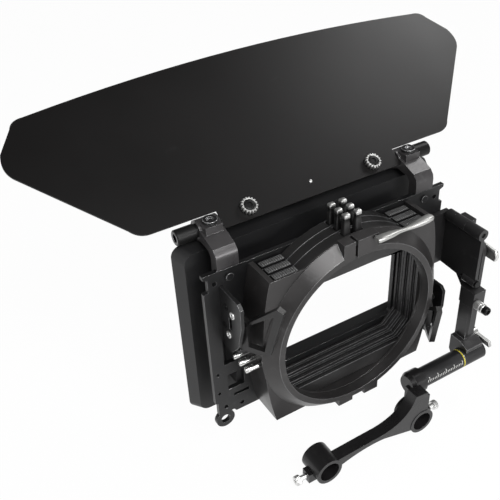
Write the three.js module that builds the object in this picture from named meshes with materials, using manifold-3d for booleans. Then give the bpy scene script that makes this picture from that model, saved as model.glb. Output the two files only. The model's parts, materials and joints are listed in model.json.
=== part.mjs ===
// Swing-away matte box on a two-rod bridge, in millimetres, +Z up.
// Origin: midway between the two rod axes, on the rear face of the bridge.
// +Y is the way the lens looks, +X is to the right of a person behind the camera.
import * as THREE from "three";
import { ConvexGeometry } from "three/addons/geometries/ConvexGeometry.js";
import { mergeVertices } from "three/addons/utils/BufferGeometryUtils.js";
import Module from "manifold-3d";

const wasm = await Module();
wasm.setup();

// ---------- driving dimensions ----------
const AXIS_Z = 116.8; // height of the optical axis above the rods
const SEAT_GAP = 0.3; // between two pieces that touch
const RUN_GAP = 0.4; // between two pieces that slide or turn

// rods and their bridge
const ROD_D = 19;
const ROD_SPACING = 104;
const ROD_BORE_D = ROD_D + RUN_GAP;
const CLAMP_D = 26;
const CLAMP_LENGTH = 24;
const BEAM_DEPTH = 12;
const ROD_SCREW_D = 5;
const ROD_SCREW_LENGTH = 13;
const ROD_KNOB_D = 9;
const ROD_KNOB_LENGTH = 5;

// cross tube that carries the column
const TUBE_D = 18.4;
const ELBOW_WALL = 2.2;
const TUBE_Y = 22;
const TUBE_Z = 29.2;
const TUBE_START_X = 58;
const TUBE_LENGTH = 82;
const SCALE_RING_X = 112.5;
const SCALE_RING_WIDTH = 1.6;

// column and its height slide
const COLUMN_X = 125;
const FOOT_START_X = 116.5;
const FOOT_END_X = 137;
const FOOT_WALL = 1.8;
const FOOT_LEVER_RISE = 3.8;
const FOOT_TOP_RISE = 4.5;
const COLUMN_WIDTH = 7;
const COLUMN_DEPTH = 13;
const COLUMN_Y = 32;
const COLUMN_TOP_Z = AXIS_Z - 30.8;
const TONGUE_THICK = 4;
const TONGUE_LENGTH = 48;
const BLOCK_TOP_Z = AXIS_Z - 12.8;
const KNOB_D = 9;
const KNOB_LENGTH = 10;

// swing hinge, whose barrel lies along Y
const HINGE_Z = AXIS_Z + 47.2;
const HINGE_D = 11;
const HINGE_PIN_D = 4;
const HINGE_START_Y = 26;
const REAR_KNUCKLE = 18;
const MIDDLE_KNUCKLE = 14;
const FRONT_KNUCKLE = 9.4;
const WEB_THICK = 3.5;
const WEB_BOTTOM_Z = AXIS_Z - 6.8;
const FLANGE_X = 98;
const FLANGE_THICK = 4.4;
const LOCK_BARREL_Z = AXIS_Z - 4.8;
const LOCK_BARREL_D = 8.4;
const LOCK_PIN_D = 4;
const ARM_X = 130.3;
const ARM_THICK = 4;

// optical axis and filter stage
const COLLAR_REAR_Y = 33;
const COLLAR_OUTER_R = 79.6;
const COLLAR_BORE_R = 74.3;
const COLLAR_LENGTH = 9.5;
const STAGE_REAR_Y = 42.8;
const STAGE_CONE_R = 89.5;
const STAGE_HALF_WIDTH = 90.4;
const STAGE_CORNER_X = 80;
const STAGE_HALF_HEIGHT = 75.2;
const STAGE_WALL = 1.8;
const TRAY_COUNT = 3;
const TRAY_THICK = 8.8;
const TRAY_GAP = 0.7;
const TRAY_PITCH = TRAY_THICK + TRAY_GAP;
const TRAY_HALF_WIDTH = 75.6;
const TRAY_BOTTOM = 66;
const TRAY_SHOULDER = 72;
const TRAY_ARCH_R = 88.5;
const TRAY_WINDOW_HALF_WIDTH = 71;
const TRAY_WINDOW_HALF_HEIGHT = 52;
const TRAY_WINDOW_CHAMFER = 13;
const FILTER_SLOT_DEPTH = 2.4;
const FILTER_SLOT_WIDTH = 4.4;
const COLLAR_BLOCK_TOP = 90;
const LEVER_PIVOT_R = 2;
const LEVER_WIDTH = 7.4;
const GRIP_LENGTH = 24;
const GRIP_HEIGHT = 2.6;
const PRONG_WIDTH = 6;
const PRONG_THICK = 5.2;
const PRONG_TOP = 106;
const PRONG_GAP = 5;
const LOCK_PIN_LENGTH = 14;
const STAGE_PIN_D = 5;
const STAGE_PIN_Z = -8;

// mount plate in front of the stage
const MOUNT_Y = 74.3;
const MOUNT_THICK = 4;
const MOUNT_HALF_WIDTH = 120.2;
const MOUNT_TOP = 77.5;
const MOUNT_BOTTOM = 59.5;
const LEG_BOTTOM = 78;
const APERTURE_HALF_WIDTH = 69.6;
const APERTURE_HALF_HEIGHT = 46.4;
const EYELET_R = 9;
const EYELET_HOLE_R = 4.5;
const EYELET_X = 111;
const EYELET_Z = 82;

// sunshade
const HOOD_FRONT_Y = 108;
const HOOD_FLANGE_Y = 96;
const HOOD_FRONT_HALF_WIDTH = 129.3;
const HOOD_FRONT_HALF_HEIGHT = 88.5;
const HOOD_FLANGE_HALF_WIDTH = 124;
const HOOD_FLANGE_HALF_HEIGHT = 85;
const HOOD_NECK_HALF_WIDTH = 95;
const HOOD_NECK_HALF_HEIGHT = 60;
const HOOD_WALL = 2.5;
const HOOD_CORNER_R = 9;

// flag, its bar and brackets
const BAR_Y = 105.8;
const BAR_Z = 97.7;
const BAR_D = 10.8;
const BAR_BORE_D = 7;
const BAR_HALF_LENGTH = 125.3;
const BRACKET_INNER_X = 88;
const BRACKET_WIDTH = 19;
const BRACKET_THICK = 5;
const CLAMP_HEAD_D = 17;
const CAP_D = 12;
const FLAG_TILT = (33.2 * Math.PI) / 180;
const FLAG_THICK = 1.4;
const FLAG_HALF_TAB = 87;
const FLAG_HALF_FOOT = 148;
const FLAG_HALF_SPAN = 222;
const FLAG_HALF_CROWN = 203;
const FLAG_HEIGHT = 143.6;
const FLAG_TAB = 8.8;
const FLAG_FOOT = 7.2;
const THUMB_X = 61.2;
const THUMB_D = 15;
const THUMB_HEIGHT = 4.5;

// side plates and their hinged loops
const RIGHT_DROP = 76;
const SIDE_X = 106.5;
const SIDE_THICK = 3;
const BUSH_R = 3.2;
const LOOP_X = 100.5;
const LOOP_Y = 56;
const LOOP_ANGLE = (-59 * Math.PI) / 180;
const LOOP_THICK = 5;
const LOOP_LOW = 12;
const LOOP_HIGH = 44;
const LOOP_PIN_R = 1.5;

// ---------- materials ----------
const finish = (color, roughness, metalness) =>
  new THREE.MeshStandardMaterial({ color, roughness, metalness });
const BLACK_METAL = () => finish(0x1c1c1e, 0.5, 0.6);
const GREY_METAL = () => finish(0x3a3a3c, 0.5, 0.6);
const BLACK_PLASTIC = () => finish(0x141415, 0.65, 0);
const CHROME = () => finish(0xd8d8d8, 0.2, 1);
const LABEL = () => finish(0x8c8c8a, 0.6, 0.3);
const YELLOW = () => finish(0xc9b21c, 0.5, 0);

const part = new THREE.Group();

function solid(geometry) {
  const g = geometry.clone();
  g.deleteAttribute("normal");
  g.deleteAttribute("uv");
  const merged = mergeVertices(g, 1e-4);
  return new wasm.Manifold(
    new wasm.Mesh({
      numProp: 3,
      vertProperties: merged.attributes.position.array,
      triVerts: new Uint32Array(merged.index.array),
    }),
  );
}

function add(name, body, material) {
  const mesh = body.getMesh();
  const g = new THREE.BufferGeometry();
  g.setAttribute("position", new THREE.BufferAttribute(mesh.vertProperties, 3));
  g.setIndex(new THREE.BufferAttribute(mesh.triVerts, 1));
  g.computeVertexNormals();
  const piece = new THREE.Mesh(g, material);
  piece.name = name;
  part.add(piece);
}

const joined = (bodies) => bodies.reduce((sum, body) => sum.add(body));

// A box between two corners.
function box(x0, x1, y0, y1, z0, z1) {
  const g = new THREE.BoxGeometry(x1 - x0, y1 - y0, z1 - z0);
  g.translate((x0 + x1) / 2, (y0 + y1) / 2, (z0 + z1) / 2);
  return solid(g);
}

// A cone or cylinder from y0 to y1, round the line through x and z.
function roundY(r0, r1, y0, y1, x, z, sides = 32) {
  const g = new THREE.CylinderGeometry(r1, r0, y1 - y0, sides);
  g.translate(x, (y0 + y1) / 2, z);
  return solid(g);
}

function roundX(r, x0, x1, y, z, sides = 24) {
  const g = new THREE.CylinderGeometry(r, r, x1 - x0, sides);
  g.rotateZ(Math.PI / 2);
  g.translate((x0 + x1) / 2, y, z);
  return solid(g);
}

function roundZ(r, z0, z1, x, y, sides = 24) {
  const g = new THREE.CylinderGeometry(r, r, z1 - z0, sides);
  g.rotateX(Math.PI / 2);
  g.translate(x, y, (z0 + z1) / 2);
  return solid(g);
}

// An outline in the XZ plane, from y0 to y1.
function slabY(shape, y0, y1, curveSegments = 12) {
  const g = new THREE.ExtrudeGeometry(shape, {
    depth: y1 - y0,
    bevelEnabled: false,
    curveSegments,
  });
  g.rotateX(Math.PI / 2);
  g.translate(0, y1, 0);
  return solid(g);
}

// An outline given as (y, z), from x0 to x1.
function slabX(shape, x0, x1, curveSegments = 12) {
  const g = new THREE.ExtrudeGeometry(shape, {
    depth: x1 - x0,
    bevelEnabled: false,
    curveSegments,
  });
  g.rotateX(Math.PI / 2);
  g.rotateZ(Math.PI / 2);
  g.translate(x0, 0, 0);
  return solid(g);
}

const outline = (points) =>
  new THREE.Shape(points.map(([a, b]) => new THREE.Vector2(a, b)));

// A rectangle with round corners, centred on (0, z).
function roundedRect(halfWidth, halfHeight, r, z = 0) {
  const s = new THREE.Shape();
  const [x, top, low] = [halfWidth, z + halfHeight, z - halfHeight];
  s.moveTo(-x + r, low);
  s.lineTo(x - r, low);
  s.absarc(x - r, low + r, r, -Math.PI / 2, 0);
  s.lineTo(x, top - r);
  s.absarc(x - r, top - r, r, 0, Math.PI / 2);
  s.lineTo(-x + r, top);
  s.absarc(-x + r, top - r, r, Math.PI / 2, Math.PI);
  s.lineTo(-x, low + r);
  s.absarc(-x + r, low + r, r, Math.PI, 1.5 * Math.PI);
  return s;
}

// The convex body round a set of points.
function hull(points) {
  return solid(new ConvexGeometry(points.map((p) => new THREE.Vector3(...p))));
}

// A rounded rectangle that grows from one size at y0 to another at y1.
function flare(y0, halfWidth0, halfHeight0, y1, halfWidth1, halfHeight1, r) {
  const ring = (y, w, height) =>
    roundedRect(w, height, r, AXIS_Z)
      .getPoints(6)
      .map((p) => [p.x, y, p.y]);
  return hull([...ring(y0, halfWidth0, halfHeight0), ...ring(y1, halfWidth1, halfHeight1)]);
}

// ---------- rod bridge and cross tube ----------
const rodX = ROD_SPACING / 2;
const leftScrewZ = -6;
const rightScrewZ = -4;

const elbowR = TUBE_D / 2 + ELBOW_WALL;

function rodBridge() {
  const clamps = [-rodX, rodX].map((x) => roundY(CLAMP_D / 2, CLAMP_D / 2, 0, CLAMP_LENGTH, x, 0));
  const arch = new THREE.Shape();
  arch.moveTo(-rodX, -4);
  arch.quadraticCurveTo(-20, 8, 8, 4);
  arch.lineTo(rodX - 2, -8);
  arch.lineTo(rodX + 6, 8);
  arch.lineTo(rodX + 4, TUBE_Z + 6);
  arch.lineTo(rodX - 10, TUBE_Z + 8);
  arch.quadraticCurveTo(rodX - 17, 12, 4, 10);
  arch.quadraticCurveTo(-22, 10, -rodX, 9);
  const beam = slabY(arch, 0.5, BEAM_DEPTH);
  const elbow = hull(
    Array.from({ length: 20 }, (_, k) => k).flatMap((k) => {
      const a = (k * Math.PI) / 10;
      const [y, z] = [TUBE_Y + elbowR * Math.cos(a), TUBE_Z + elbowR * Math.sin(a)];
      return [
        [rodX - 2, TUBE_Y + (y - TUBE_Y) * 0.8, TUBE_Z + (z - TUBE_Z) * 0.8],
        [rodX + 2, y, z],
        [rodX + 13, y, z],
      ];
    }),
  );
  const web = box(rodX - 4, rodX + 8, 2, TUBE_Y, 2, TUBE_Z);
  const lugs = [
    box(-rodX - 17, -rodX, 7, 17, leftScrewZ - 5, leftScrewZ + 5),
    box(rodX, rodX + 17, 7, 17, rightScrewZ - 5, rightScrewZ + 5),
  ];
  const bores = [-rodX, rodX].map((x) =>
    roundY(ROD_BORE_D / 2, ROD_BORE_D / 2, -1, CLAMP_LENGTH + 1, x, 0),
  );
  const screwHoles = [
    roundX(ROD_SCREW_D / 2 + RUN_GAP, -rodX - 30, -rodX, 12, leftScrewZ),
    roundX(ROD_SCREW_D / 2 + RUN_GAP, rodX, rodX + 30, 12, rightScrewZ),
  ];
  const socketR = TUBE_D / 2 + SEAT_GAP;
  const socket = roundX(socketR, TUBE_START_X - SEAT_GAP, rodX + 40, TUBE_Y, TUBE_Z);
  const body = joined([...clamps, beam, elbow, web, ...lugs]);
  return [...bores, ...screwHoles, socket].reduce((left, cut) => left.subtract(cut), body);
}
add("rod_bridge", rodBridge(), BLACK_METAL());

function rodScrew(side, z) {
  const start = rodX + ROD_BORE_D / 2 + 0.6;
  const shank = [start, start + ROD_SCREW_LENGTH];
  const knob = [shank[1], shank[1] + ROD_KNOB_LENGTH];
  const place = ([a, b]) => (side > 0 ? [a, b] : [-b, -a]);
  const body = roundX(ROD_SCREW_D / 2, ...place(shank), 12, z);
  return body.add(roundX(ROD_KNOB_D / 2, ...place(knob), 12, z));
}
add("rod_screw_left", rodScrew(-1, leftScrewZ), CHROME());
add("rod_screw_right", rodScrew(1, rightScrewZ), CHROME());

const tubeR = TUBE_D / 2;
const onTube = (r, x0, x1, sides = 24) => roundX(r, x0, x1, TUBE_Y, TUBE_Z, sides);
const grooveEnd = SCALE_RING_X + SCALE_RING_WIDTH;
const groove = onTube(tubeR + 1, SCALE_RING_X, grooveEnd).subtract(
  onTube(tubeR - 1, SCALE_RING_X - 1, grooveEnd + 1),
);
const tube = onTube(tubeR, TUBE_START_X, TUBE_START_X + TUBE_LENGTH, 32);
add("cross_tube", tube.subtract(groove), BLACK_METAL());

const scaleRing = onTube(tubeR, SCALE_RING_X + SEAT_GAP, grooveEnd - SEAT_GAP).subtract(
  onTube(tubeR - 1 + SEAT_GAP, SCALE_RING_X - 1, grooveEnd + 1),
);
add("scale_ring", scaleRing, YELLOW());

// ---------- column on the tube ----------
const columnRear = COLUMN_Y - COLUMN_DEPTH / 2;
const columnFront = COLUMN_Y + COLUMN_DEPTH / 2;
const columnX = [COLUMN_X - COLUMN_WIDTH / 2, COLUMN_X + COLUMN_WIDTH / 2];
const footLeverY = COLUMN_Y;
const hookR = TUBE_D / 2 + FOOT_WALL;
const footLeverZ = TUBE_Z + TUBE_D / 2 + FOOT_LEVER_RISE;
const footTopZ = footLeverZ + FOOT_TOP_RISE;

function columnFoot() {
  const saddle = slabX(
    outline([
      [TUBE_Y - 3, TUBE_Z - hookR],
      [TUBE_Y + 9, TUBE_Z - hookR],
      [columnFront, TUBE_Z],
      [columnFront, footTopZ],
      [columnRear, footTopZ],
      [TUBE_Y - 6, footLeverZ],
      [TUBE_Y - 6, TUBE_Z + hookR - 2],
      [TUBE_Y - 4, TUBE_Z + 7.6],
    ]),
    FOOT_START_X,
    FOOT_END_X,
  );
  const post = box(...columnX, columnRear, columnFront, TUBE_Z + 14, COLUMN_TOP_Z);
  const brace = hull([
    [columnX[1] - 1, columnRear + 3, TUBE_Z + 15],
    [columnX[1] - 1, columnFront, TUBE_Z + 15],
    [FOOT_END_X, columnRear + 3, TUBE_Z + 15],
    [FOOT_END_X, columnFront, TUBE_Z + 15],
    [columnX[1] - 1, columnRear + 3, TUBE_Z + 28],
    [columnX[1] - 1, columnFront, TUBE_Z + 28],
  ]);
  const bore = roundX(TUBE_D / 2 + RUN_GAP, FOOT_START_X - 1, FOOT_END_X + 1, TUBE_Y, TUBE_Z, 32);
  const leverHole = roundX(2.6, FOOT_END_X - 10, FOOT_END_X + 1, footLeverY, footLeverZ);
  return joined([saddle, post, brace]).subtract(bore).subtract(leverHole);
}
add("column_foot", columnFoot(), BLACK_METAL());

// A lever on an axis along X: its hub, then an arm given as (y, z) points.
function leverX(hubR, x0, x1, y, z, arm, armSpan) {
  return roundX(hubR, x0, x1, y, z).add(slabX(outline(arm), ...armSpan));
}
const footLever = leverX(
  4.5,
  FOOT_END_X + SEAT_GAP,
  FOOT_END_X + 6,
  footLeverY,
  footLeverZ,
  [
    [footLeverY - 3.5, footLeverZ + 2],
    [footLeverY - 20, footLeverZ + 2],
    [footLeverY - 22, footLeverZ - 3],
    [footLeverY - 3.5, footLeverZ - 3],
  ],
  [FOOT_END_X + 2, FOOT_END_X + 5.5],
).add(roundX(2.2, FOOT_END_X - 8, FOOT_END_X + 1, footLeverY, footLeverZ));
add("foot_lever", footLever, CHROME());

// ---------- height slide with the middle knuckle of the hinge ----------
const barrelR = HINGE_D / 2;
const hingePinR = HINGE_PIN_D / 2;
const pinBoreR = hingePinR + SEAT_GAP;
const rearKnuckle = [HINGE_START_Y, HINGE_START_Y + REAR_KNUCKLE];
const middleKnuckle = [rearKnuckle[1] + RUN_GAP, rearKnuckle[1] + RUN_GAP + MIDDLE_KNUCKLE];
const frontKnuckle = [middleKnuckle[1] + RUN_GAP, middleKnuckle[1] + RUN_GAP + FRONT_KNUCKLE];
const hingeEnd = frontKnuckle[1];
const pinBore = roundY(pinBoreR, pinBoreR, 0, 90, COLUMN_X, HINGE_Z);
const knuckle = (span) => roundY(barrelR, barrelR, ...span, COLUMN_X, HINGE_Z, 28);
const armX = [ARM_X, ARM_X + ARM_THICK];
const knobX = COLUMN_X - 1.5;
const knobZ = COLUMN_TOP_Z + 7;
const leverHubZ = AXIS_Z + 22;
const leverHubY = 37;
const tongueFront = columnRear - RUN_GAP;
const tongueRear = tongueFront - TONGUE_THICK;

function heightSlide() {
  const arm = slabX(
    outline([
      [COLUMN_Y - 4, COLUMN_TOP_Z + 1],
      [COLUMN_Y + 9, COLUMN_TOP_Z + 1],
      [middleKnuckle[1] + 4, BLOCK_TOP_Z + 8],
      [middleKnuckle[1] + 4, HINGE_Z - 14],
      [middleKnuckle[1], HINGE_Z - 7],
      [middleKnuckle[1], HINGE_Z + 3],
      [middleKnuckle[0], HINGE_Z + 3],
      [middleKnuckle[0], HINGE_Z - 7],
      [COLUMN_Y - 2, HINGE_Z - 14],
      [COLUMN_Y - 4, HINGE_Z - 24],
    ]),
    ...armX,
  );
  const link = box(COLUMN_X, armX[1], ...middleKnuckle, HINGE_Z - 3, HINGE_Z + 4);
  const block = box(columnX[0] - 1, armX[1], tongueRear, columnFront, COLUMN_TOP_Z + 1, BLOCK_TOP_Z);
  const tongueX = [columnX[0] - 1, columnX[1] - 1];
  const tongueZ = [BLOCK_TOP_Z - TONGUE_LENGTH, BLOCK_TOP_Z];
  const tongue = box(...tongueX, tongueRear, tongueFront, ...tongueZ);
  const hubHole = roundX(2.4, armX[1] - 3, armX[1] + 1, leverHubY, leverHubZ);
  return joined([arm, link, knuckle(middleKnuckle), block, tongue])
    .subtract(pinBore)
    .subtract(hubHole);
}
add("height_slide", heightSlide(), GREY_METAL());

const knobFront = tongueRear - SEAT_GAP;
const knobRear = knobFront - KNOB_LENGTH;
const onKnob = (r, y0, y1) => roundY(r, r, y0, y1, knobX, knobZ);
add("height_knob", onKnob(KNOB_D / 2, knobRear, knobFront), CHROME());
add("height_knob_cap", onKnob(4, knobRear - 5, knobRear - SEAT_GAP), BLACK_PLASTIC());

const hubX = [armX[1] + SEAT_GAP, armX[1] + 3.6];
const hub = roundX(8, ...hubX, leverHubY, leverHubZ).add(
  roundX(2, armX[1] - 2, armX[1] + 2, leverHubY, leverHubZ),
);
add("swing_lever_hub", hub, BLACK_PLASTIC());
const bladeX = [hubX[1] + SEAT_GAP, hubX[1] + 4.2];
const blade = slabX(
  outline([
    [leverHubY - 18, leverHubZ - 1],
    [leverHubY - 16, leverHubZ - 6],
    [leverHubY + 5, leverHubZ - 6],
    [leverHubY + 7, leverHubZ],
    [leverHubY + 5, leverHubZ + 7],
    [leverHubY - 16, leverHubZ + 5],
  ]),
  ...bladeX,
);
add("swing_lever", blade, CHROME());
add("hinge_pin", roundY(hingePinR, hingePinR, HINGE_START_Y + 1, hingeEnd, COLUMN_X, HINGE_Z), CHROME());

// ---------- angle leaf on the matte box, with the outer knuckles and the lock barrel ----------
const lockPinR = LOCK_PIN_D / 2;
const lockR = LOCK_BARREL_D / 2;
const lockPart = (r, y0, y1) => roundY(r, r, y0, y1, COLUMN_X, LOCK_BARREL_Z);

function hingeLeaf() {
  const half = WEB_THICK / 2;
  const webTop = HINGE_Z - barrelR - 1;
  const end = MOUNT_Y - SEAT_GAP;
  const web = slabX(
    outline([
      [HINGE_START_Y, LOCK_BARREL_Z],
      [HINGE_START_Y + 16, WEB_BOTTOM_Z],
      [end, WEB_BOTTOM_Z + 2],
      [end, webTop],
      [HINGE_START_Y, webTop],
    ]),
    COLUMN_X - half,
    COLUMN_X + half,
  );
  const flange = box(FLANGE_X, COLUMN_X + half, end - FLANGE_THICK, end, WEB_BOTTOM_Z + 2, HINGE_Z + 3);
  const necks = [rearKnuckle, frontKnuckle].map((span) =>
    box(COLUMN_X - half, COLUMN_X + half, ...span, webTop - 1, HINGE_Z),
  );
  const lockBarrel = lockPart(lockR, HINGE_START_Y, HINGE_START_Y + 14);
  const body = joined([web, flange, ...necks, knuckle(rearKnuckle), knuckle(frontKnuckle), lockBarrel]);
  const lockBore = lockPart(lockPinR + RUN_GAP, 0, HINGE_START_Y + 18);
  return body.subtract(pinBore).subtract(lockBore);
}
add("hinge_leaf", hingeLeaf(), BLACK_METAL());
const lockShank = lockPart(lockPinR, HINGE_START_Y - 1, HINGE_START_Y + 13);
const lockHead = lockPart(3.2, HINGE_START_Y - 2.4, HINGE_START_Y - RUN_GAP);
add("swing_lock_pin", lockShank.add(lockHead), CHROME());

// ---------- filter stage ----------
const boreCut = (r, y0, y1, sides = 64) => roundY(r, r, y0, y1, 0, AXIS_Z, sides);

const leverPivotX = 11;
const leverPivotZ = AXIS_Z + COLLAR_BLOCK_TOP - 2.8;
const leverPivot = (r, end) => roundY(r, r, COLLAR_REAR_Y - 2, end, leverPivotX, leverPivotZ);

function rearCollar() {
  const end = COLLAR_REAR_Y + COLLAR_LENGTH;
  const ring = roundY(COLLAR_OUTER_R, STAGE_CONE_R - SEAT_GAP, COLLAR_REAR_Y, end, 0, AXIS_Z, 72);
  const topBlocks = box(-19, 14, COLLAR_REAR_Y, end, AXIS_Z + 74, AXIS_Z + COLLAR_BLOCK_TOP);
  const tabs = [
    box(-19, -4, COLLAR_REAR_Y, COLLAR_REAR_Y + 7, AXIS_Z - 84, AXIS_Z - 74),
    box(9, 24, COLLAR_REAR_Y, COLLAR_REAR_Y + 7, AXIS_Z - 84, AXIS_Z - 74),
  ];
  const split = box(-8.4, -5.8, 0, 100, AXIS_Z + 60, AXIS_Z + 100);
  const screwHole = roundX(2.6, -18, 12, COLLAR_REAR_Y + 5, AXIS_Z + 85);
  const pivotHole = leverPivot(LEVER_PIVOT_R + RUN_GAP, COLLAR_REAR_Y + 2);
  return joined([ring, topBlocks, ...tabs])
    .subtract(boreCut(COLLAR_BORE_R, 0, 100, 72))
    .subtract(split)
    .subtract(screwHole)
    .subtract(pivotHole);
}
add("rear_collar", rearCollar(), BLACK_METAL());
add("collar_screw", roundX(2.2, -17, 11.5, COLLAR_REAR_Y + 5, AXIS_Z + 85), CHROME());

const collarLeverX = leverPivotX + 3.3;
const collarLeverZ = leverPivotZ - 2.2;
const collarLever = slabY(
  outline([
    [collarLeverX - 6, collarLeverZ],
    [collarLeverX + 18, collarLeverZ],
    [collarLeverX + 24, collarLeverZ - 2],
    [collarLeverX + 48, collarLeverZ],
    [collarLeverX + 50, collarLeverZ + 5],
    [collarLeverX + 44, collarLeverZ + 6],
    [collarLeverX + 16, collarLeverZ + 4.5],
    [collarLeverX - 6, collarLeverZ + 4.5],
  ]),
  COLLAR_REAR_Y - LEVER_WIDTH - SEAT_GAP,
  COLLAR_REAR_Y - SEAT_GAP,
).add(leverPivot(LEVER_PIVOT_R, COLLAR_REAR_Y + 1.7));
add("collar_lever", collarLever, CHROME());

// The stage seen along the axis: straight top and bottom, sides that bulge between the corners.
function stageOutline() {
  const s = new THREE.Shape();
  const [x, z] = [STAGE_CORNER_X, STAGE_HALF_HEIGHT];
  const [shoulderZ, hipZ] = [AXIS_Z + z * 0.55, AXIS_Z - z * 0.35];
  const [shoulder, hip] = [STAGE_HALF_WIDTH, STAGE_HALF_WIDTH + 0.6];
  s.moveTo(-x, AXIS_Z + z);
  s.bezierCurveTo(-shoulder, shoulderZ, -hip, hipZ, -x + 2, AXIS_Z - z);
  s.lineTo(x - 2, AXIS_Z - z);
  s.bezierCurveTo(hip, hipZ, shoulder, shoulderZ, x, AXIS_Z + z);
  return s;
}

const stageFront = MOUNT_Y - SEAT_GAP;
const slotRear = STAGE_REAR_Y + STAGE_WALL;
const trayRear = (k) => slotRear + RUN_GAP + k * TRAY_PITCH;
const trayMiddle = (k) => trayRear(k) + TRAY_THICK / 2;
const slotHalf = TRAY_HALF_WIDTH + RUN_GAP;

function filterStage() {
  const shell = slabY(stageOutline(), STAGE_REAR_Y, stageFront, 20);
  const arch = boreCut(STAGE_CONE_R, STAGE_REAR_Y, slotRear, 72);
  const slotFloor = AXIS_Z - TRAY_BOTTOM - RUN_GAP;
  const slot = box(-slotHalf, slotHalf, slotRear, stageFront + 1, slotFloor, AXIS_Z + 120);
  const pinHoleR = STAGE_PIN_D / 2 + RUN_GAP;
  const pinHole = (k) =>
    roundX(pinHoleR, -STAGE_HALF_WIDTH - 20, -slotHalf + 1, trayMiddle(k), AXIS_Z + STAGE_PIN_Z);
  const pins = Array.from({ length: TRAY_COUNT }, (_, k) => pinHole(k));
  const body = shell.add(arch).subtract(slot).subtract(boreCut(COLLAR_BORE_R, 0, 60, 72));
  return pins.reduce((left, pin) => left.subtract(pin), body);
}
add("filter_stage", filterStage(), BLACK_METAL());

// The window of a tray, or its filter slot when grown by a margin.
function trayWindow(margin) {
  const [w, t] = [TRAY_WINDOW_HALF_WIDTH + margin, TRAY_WINDOW_HALF_HEIGHT + margin];
  const c = TRAY_WINDOW_CHAMFER;
  return outline([
    [-w + c, AXIS_Z - t],
    [w - c, AXIS_Z - t],
    [w, AXIS_Z - t + c],
    [w, AXIS_Z + t - c],
    [w - c, AXIS_Z + t],
    [-w + c, AXIS_Z + t],
    [-w, AXIS_Z + t - c],
    [-w, AXIS_Z - t + c],
  ]);
}

const prongSplitX = -0.5;
const prongX = {
  left: [prongSplitX - PRONG_GAP / 2 - PRONG_WIDTH, prongSplitX - PRONG_GAP / 2],
  right: [prongSplitX + PRONG_GAP / 2, prongSplitX + PRONG_GAP / 2 + PRONG_WIDTH],
};
const gripZ = [AXIS_Z + TRAY_SHOULDER + SEAT_GAP, AXIS_Z + TRAY_SHOULDER + GRIP_HEIGHT];
const gripOuter = TRAY_HALF_WIDTH - 2;
const gripInner = TRAY_HALF_WIDTH - GRIP_LENGTH;
const pocketFloor = AXIS_Z + 74;

function tray(k) {
  const [y0, y1] = [trayRear(k), trayRear(k) + TRAY_THICK];
  const half = TRAY_HALF_WIDTH;
  const frame = box(-half, half, y0, y1, AXIS_Z - TRAY_BOTTOM, AXIS_Z + TRAY_SHOULDER);
  const arch = boreCut(TRAY_ARCH_R, y0, y1, 72).intersect(
    box(-half, half, y0 - 1, y1 + 1, AXIS_Z + 50, AXIS_Z + 120),
  );
  const window = slabY(trayWindow(0), y0 - 1, y1 + 1);
  const middle = trayMiddle(k);
  const slotHalfWidth = FILTER_SLOT_WIDTH / 2;
  const filterSlot = slabY(trayWindow(FILTER_SLOT_DEPTH), middle - slotHalfWidth, middle + slotHalfWidth);
  const pocket = box(
    prongX.left[0] - 1,
    prongX.right[1] + 1,
    middle - PRONG_THICK / 2 - RUN_GAP,
    middle + PRONG_THICK / 2 + RUN_GAP,
    pocketFloor,
    AXIS_Z + 120,
  );
  return frame.add(arch).subtract(window).subtract(filterSlot).subtract(pocket);
}

for (let k = 0; k < TRAY_COUNT; k += 1) {
  const n = k + 1;
  const middle = trayMiddle(k);
  add(`filter_tray_${n}`, tray(k), BLACK_METAL());
  const grip = (x0, x1) => box(x0, x1, middle - 3.6, middle + 3.6, ...gripZ);
  add(`tray_grip_left_${n}`, grip(-gripOuter, -gripInner), LABEL());
  add(`tray_grip_right_${n}`, grip(gripInner, gripOuter), LABEL());
  for (const side of ["left", "right"]) {
    const prong = box(
      ...prongX[side],
      middle - PRONG_THICK / 2,
      middle + PRONG_THICK / 2,
      pocketFloor + SEAT_GAP,
      AXIS_Z + PRONG_TOP,
    );
    add(`tray_latch_${side}_${n}`, prong, GREY_METAL());
  }
  const pinEnd = -TRAY_HALF_WIDTH - RUN_GAP - 0.6;
  const pinStart = -STAGE_HALF_WIDTH - LOCK_PIN_LENGTH + 2;
  add(`stage_pin_${n}`, roundX(STAGE_PIN_D / 2, pinStart, pinEnd, middle, AXIS_Z + STAGE_PIN_Z), CHROME());
}

// ---------- mount plate ----------
function mountOutline() {
  const right = [
    [MOUNT_HALF_WIDTH, MOUNT_TOP],
    [MOUNT_HALF_WIDTH, MOUNT_TOP - 3],
    [MOUNT_HALF_WIDTH - 4, MOUNT_TOP - 5],
    [MOUNT_HALF_WIDTH - 4, 61.5],
    [MOUNT_HALF_WIDTH, 59.9],
    [MOUNT_HALF_WIDTH - 0.8, -MOUNT_BOTTOM],
    [EYELET_X + 6, -MOUNT_BOTTOM - 1],
    [EYELET_X + 6, -LEG_BOTTOM + 3],
    [EYELET_X - EYELET_R, -LEG_BOTTOM + 3],
    [EYELET_X - EYELET_R - 2, -LEG_BOTTOM],
  ];
  const left = right.map(([x, z]) => [-x, z]).reverse();
  return outline([...right, ...left].map(([x, z]) => [x, AXIS_Z + z]));
}

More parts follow.
